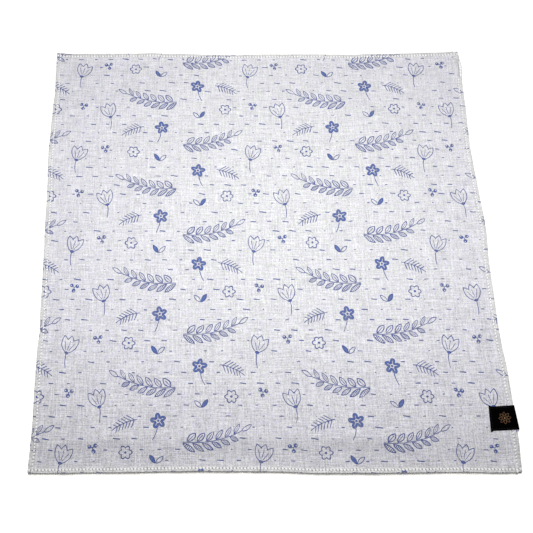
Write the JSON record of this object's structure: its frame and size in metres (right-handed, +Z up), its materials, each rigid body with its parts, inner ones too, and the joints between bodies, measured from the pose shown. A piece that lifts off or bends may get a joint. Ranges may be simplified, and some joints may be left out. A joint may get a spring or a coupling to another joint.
{
  "type": "handkerchief",
  "caption": "Square printed cotton handkerchief with a stitched hem, lying flat face up, with a small woven label folded over its right edge.",
  "frame": {"origin": "on the surface the cloth lies on, under the middle of the cloth", "axes": "+Z up from the surface through the printed face, +Y from the front edge to the back edge, +X towards the edge with the label"},
  "size_m": [0.4347, 0.4207, 0.0042],
  "materials": {
    "printed_cotton": "pale grey-blue slubby cotton, printed in one blue ink, matte",
    "woven_label": "black woven satin, soft sheen"
  },
  "bodies": {
    "root": {"cloth": "printed_cotton", "label": "woven_label"}
  },
  "joints": []
}
